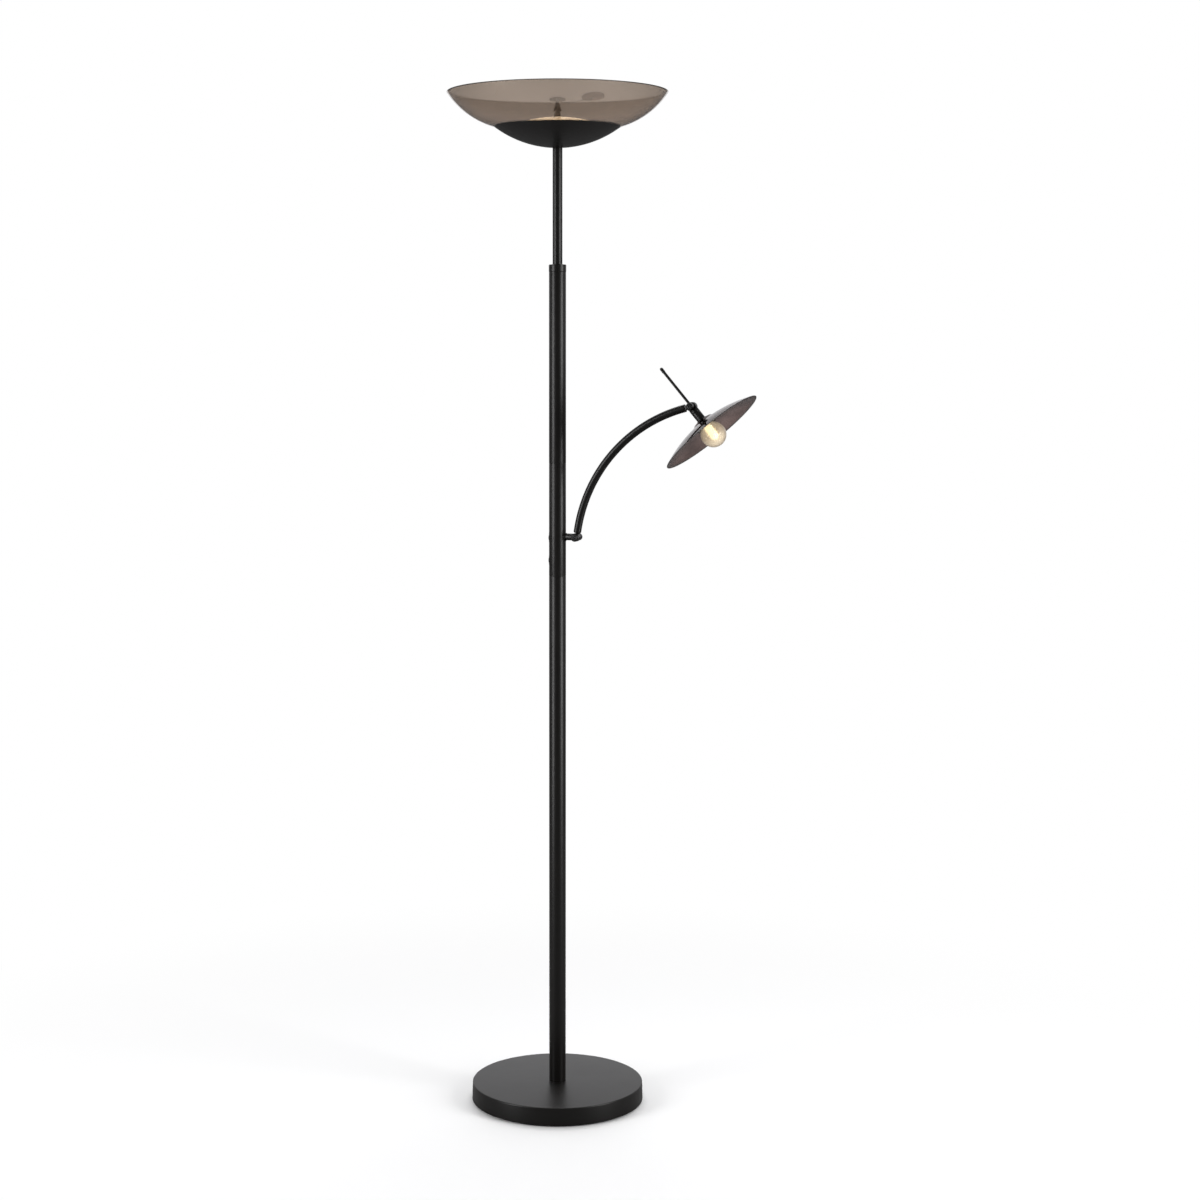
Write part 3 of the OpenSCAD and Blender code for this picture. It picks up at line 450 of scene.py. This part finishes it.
# ---- Dimmers ----
BUTTON_FACE, BUTTON_DOME_R = 15.35, 38
BUTTON_DOME_A = 9.0
for which, dimmer_z in DIMMER_Z.items():
    dome = arc(0, BUTTON_FACE - BUTTON_DOME_R, BUTTON_DOME_R, 90 - BUTTON_DOME_A, 90, 10)
    piece("button_" + which, turned(rounded(
        [(0, 6), (2, 6, 0.3), (2, 10.25), (7, 10.25, 0.2), (7, 11.35, 0.2), (6.2, 11.35),
         (6.2, 14.84, 0.5)] + dome, closed=False, steps=4), 96, closed=False),
        ["dimmer_button_" + which], at_dimmer(dimmer_z))
    softened("dimmer_bezel_" + which, 0.22)

# ---- Arm ----
ARM_BEND_R, ARM_R, ARM_BORE_R, ARM_EDGE_R = 267, 6.8, 5.5, 0.35
ARM_START_A, ARM_TURN_A = 83.6, 71.4
LOWER_REACH, UPPER_REACH = 8.6, 10.2
start_a = math.radians(90 + ARM_START_A)
ARM_CENTRE = Vector(PIVOTS["arm_tilt"]) / MM \
    - Vector((math.cos(start_a), 0, math.sin(start_a))) * ARM_BEND_R


def bent_tube(start, end, steps, around):
    """The arm's tube, bent in the XZ plane, with softly rounded ends."""
    mesh = bmesh.new()
    edge_a = math.degrees(ARM_EDGE_R / ARM_BEND_R)
    stations = [(start, ARM_BORE_R), (start, ARM_R - ARM_EDGE_R),
                (start + 0.3 * edge_a, ARM_R - 0.1), (start + edge_a, ARM_R)]
    stations += [(start + (end - start) * k / steps, ARM_R) for k in range(1, steps)]
    stations += [(end - edge_a, ARM_R), (end - 0.3 * edge_a, ARM_R - 0.1),
                 (end, ARM_R - ARM_EDGE_R), (end, ARM_BORE_R)]
    stations += [(end - (end - start) * k / steps, ARM_BORE_R) for k in range(1, steps)]
    rings = []
    for along, radius in stations:
        a = math.radians(90 + ARM_START_A - along)
        out = Vector((math.cos(a), 0, math.sin(a)))
        middle_point = ARM_CENTRE + out * ARM_BEND_R
        ring = []
        for k in range(around):
            t = 2 * math.pi * k / around
            spot = middle_point + out * radius * math.cos(t) + Vector((0, radius * math.sin(t), 0))
            ring.append(mesh.verts.new(spot * MM))
        rings.append(ring)
    for low, high in zip(rings, rings[1:] + rings[:1]):
        for k in range(around):
            n = (k + 1) % around
            mesh.faces.new([low[k], low[n], high[n], high[k]])
    return mesh


lower_inset_a, upper_inset_a = (math.degrees(reach / ARM_BEND_R)
                                for reach in (LOWER_REACH, UPPER_REACH))
piece("bent_arm_tube", bent_tube(lower_inset_a, ARM_TURN_A - upper_inset_a, 96, 48),
      ["arm_tube"])
for cad_name, width in (("arm_saddle", 0.4), ("arm_stub", 0.45), ("arm_knuckle", 0.45),
                        ("head_bracket", 0.45), ("head_knuckle", 0.45),
                        ("arm_pivot_screw", 0.2), ("head_pivot_screw", 0.2)):
    softened(cad_name, width)

# ---- Reading light ----
piece("neck", turned(rounded([
    (6.65, 14), (7.85, 14, 0.3), (7.85, 28.5), (9.6, 28.5, 0.5), (9.6, 30, 0.2), (7.85, 30),
    (7.85, 36, 0.2), (6.65, 36)], steps=4), 72), ["neck_tube"], AT_HEAD)
piece("aiming_pin", turned(rounded([
    (0, -87), (1.7, -87, 1.1), (2.9, -85.0, 1.3), (2.9, -81.6, 0.1), (2.6, -81.3, 0.1),
    (2.6, -80.9, 0.1), (2.9, -80.6, 0.1), (2.9, -77.3, 0.3), (2.4, -77.1), (2.4, -4.5),
    (0, -4.5)],
    closed=False, steps=4), 48, closed=False), ["aiming_rod"],
    AT_HEAD @ Matrix.Translation((0, 3 * MM, 0)))

SHADE_SPHERE_R, SHADE_T, SHADE_R, RIM_T, SHADE_STEPS = 225, 2.6, 98.5, 57.2, 40
SHADE_ARC_T = RIM_T + math.sqrt(SHADE_SPHERE_R ** 2 - SHADE_R ** 2)
shade_in_r = SHADE_SPHERE_R - SHADE_T
shade_in_a = -math.degrees(math.asin((SHADE_ARC_T - RIM_T) / shade_in_r))
shade_outline = [(8.2, 33.6, 0.5), (8.2, 31, 0.5), (17.5, 31, 3.5)]
flare = len(shade_outline)
shade_outline += arc(0, SHADE_ARC_T, SHADE_SPHERE_R, angle_at(24, SHADE_SPHERE_R),
                     angle_at(SHADE_R, SHADE_SPHERE_R), SHADE_STEPS)
rim = len(shade_outline) - 1
shade_outline += arc(0, SHADE_ARC_T, shade_in_r, shade_in_a, angle_at(23, shade_in_r),
                     SHADE_STEPS)
for index, corner_r in ((flare, 6.0), (rim, 1.2), (rim + 1, 1.2), (-1, 6.0)):
    round_corner(shade_outline, index, corner_r)
shade_outline += [(16.5, 33.6, 3.5)]
shade = piece("shade_glass", turned(rounded(shade_outline, steps=6), 192), ["reading_shade"],
              AT_HEAD)
# The reading shade takes the copy of its glass that is painted darker, as painted shade.
shade.data.materials[0] = SMOKE_GLASS_WITH_PAINTED_SHADE
ground_edge(shade, AT_HEAD, RIM_T)

GLOBE_T, GLOBE_R, GLOBE_WALL, CAP_R = 62, 22.2, 0.8, 8.6
holder_cut_r = GLOBE_R + 0.6
piece("holder_collar", turned(rounded(
    [(7.85, 33.6), (12, 33.6, 0.4), (12, 41, 0.6), (18.7, 41, 0.7), (18.7, 44.5, 0.7),
     (14.62, 44.5, 0.3)]
    + arc(0, GLOBE_T, holder_cut_r, angle_at(14.3, holder_cut_r), angle_at(9.2, holder_cut_r), 8)
    + [(9.2, 36), (7.85, 36)], steps=4), 96), ["lamp_holder"], AT_HEAD)
neck_a = angle_at(CAP_R, GLOBE_R)
inner_neck_a = angle_at(CAP_R, GLOBE_R - GLOBE_WALL)
piece("bulb_glass", turned(
    arc(0, GLOBE_T, GLOBE_R, neck_a, 90, 48)
    + arc(0, GLOBE_T, GLOBE_R - GLOBE_WALL, 90, inner_neck_a, 48), 96), ["bulb_globe"], AT_HEAD)
piece("bulb_light", turned(rounded(
    [(0, 43), (5.2, 43, 0.8), (7.3, 46, 2.0), (7.5, 60)] + arc(0, 63.5, 7.5, 0, 90, 12),
    closed=False, steps=4), 64, closed=False), ["bulb_core"], AT_HEAD)

# ---- Floor and light ----

def seen_directly(tree):
    """1 for a ray that shows a thing itself, straight or through glass, and 0 for any other."""
    path = node(tree, "LightPath")
    seen = node(tree, "Math", operation="MAXIMUM")
    tree.links.new(path.outputs["Is Camera Ray"], seen.inputs[0])
    tree.links.new(path.outputs["Is Transmission Ray"], seen.inputs[1])
    return seen


FLOOR_R, FLOOR_FADE_FROM, FLOOR_FADE_TO = 30.0, 0.25, 1.5
floor_mesh = turned([(0, 0), (FLOOR_R / MM, 0)], 96, closed=False)
floor_data = bpy.data.meshes.new("floor")
floor_mesh.to_mesh(floor_data)
floor_mesh.free()
floor = bpy.data.objects.new("floor", floor_data)
bpy.context.scene.collection.objects.link(floor)
floor_paint = bpy.data.materials.new("pale_floor")
floor_paint.use_nodes = True
tree = floor_paint.node_tree
surface = tree.nodes["Principled BSDF"]
PALE, SHADED = (0.93, 0.93, 0.93, 1), (0.22, 0.22, 0.22, 1)
surface.inputs["Roughness"].default_value = 0.7
coords = node(tree, "TexCoord")
distance = node(tree, "VectorMath", operation="LENGTH")
tree.links.new(coords.outputs["Object"], distance.inputs[0])
fade = node(tree, "MapRange", From_Min=FLOOR_FADE_FROM, From_Max=FLOOR_FADE_TO,
            interpolation_type="SMOOTHSTEP")
tree.links.new(distance.outputs["Value"], fade.inputs["Value"])
glow = node(tree, "Emission", Color=(1, 1, 1, 1), Strength=1.0)
seen = seen_directly(tree)
glowing = node(tree, "Math", operation="MULTIPLY")
tree.links.new(seen.outputs["Value"], glowing.inputs[0])
tree.links.new(fade.outputs["Result"], glowing.inputs[1])
tone = node(tree, "ValToRGB")
tone.color_ramp.elements[0].color = SHADED
tone.color_ramp.elements[1].color = PALE
tree.links.new(seen.outputs["Value"], tone.inputs["Fac"])
tree.links.new(tone.outputs["Color"], surface.inputs["Base Color"])
mix = node(tree, "MixShader")
tree.links.new(glowing.outputs["Value"], mix.inputs[0])
tree.links.new(surface.outputs["BSDF"], mix.inputs[1])
tree.links.new(glow.outputs["Emission"], mix.inputs[2])
tree.links.new(mix.outputs["Shader"], tree.nodes["Material Output"].inputs["Surface"])
floor_data.materials.append(floor_paint)

world = bpy.data.worlds.new("studio")
world.use_nodes = True
bpy.context.scene.world = world
tree = world.node_tree
background = tree.nodes["Background"]
background.inputs["Color"].default_value = (1, 1, 1, 1)
coords = node(tree, "TexCoord")
towards_backdrop = node(tree, "VectorMath", operation="DOT_PRODUCT")
towards_backdrop.inputs[1].default_value = (-math.sin(CAMERA_AZIMUTH),
                                            math.cos(CAMERA_AZIMUTH), 0.15)
tree.links.new(coords.outputs["Generated"], towards_backdrop.inputs[0])
backdrop = node(tree, "MapRange", From_Min=0.1, From_Max=0.95, To_Min=0.13, To_Max=0.9,
                interpolation_type="SMOOTHSTEP")
tree.links.new(towards_backdrop.outputs["Value"], backdrop.inputs["Value"])
dim = node(tree, "Background", Color=(0.98, 0.98, 1.0, 1))
tree.links.new(backdrop.outputs["Result"], dim.inputs["Strength"])
seen = seen_directly(tree)
mix = node(tree, "MixShader")
tree.links.new(seen.outputs["Value"], mix.inputs[0])
tree.links.new(dim.outputs["Background"], mix.inputs[1])
tree.links.new(background.outputs["Background"], mix.inputs[2])
tree.links.new(mix.outputs["Shader"], tree.nodes["World Output"].inputs["Surface"])


def softbox(name, azimuth, distance, height, width, tall, power):
    """A rectangular lamp that looks at the middle of the pole."""
    light = bpy.data.lights.new(name, "AREA")
    light.shape = "RECTANGLE"
    light.size = width
    light.size_y = tall
    light.energy = power
    made = bpy.data.objects.new(name, light)
    a = math.radians(azimuth)
    made.location = (distance * math.sin(a), -distance * math.cos(a), height)
    aim = Vector((0, 0, 1.0)) - made.location
    made.rotation_euler = aim.to_track_quat("-Z", "Y").to_euler()
    bpy.context.scene.collection.objects.link(made)
    return made


softboxes = [
    softbox("left_softbox", azimuth=-42, distance=3.2, height=1.3, width=1.1, tall=2.6, power=78),
    softbox("right_softbox", azimuth=82, distance=3.2, height=1.5, width=1.1, tall=2.8, power=90),
    softbox("top_softbox", azimuth=190, distance=1.2, height=3.6, width=2.4, tall=2.0, power=60)]

# The mirrored glass shows the room and not the softboxes, whose image would burn out on it.
glass = bpy.data.collections.new("mirrored_glass")
for made in (bowl, shade):
    glass.objects.link(made)
for entry in glass.collection_objects:
    entry.light_linking.link_state = "EXCLUDE"
for made in softboxes:
    made.light_linking.receiver_collection = glass
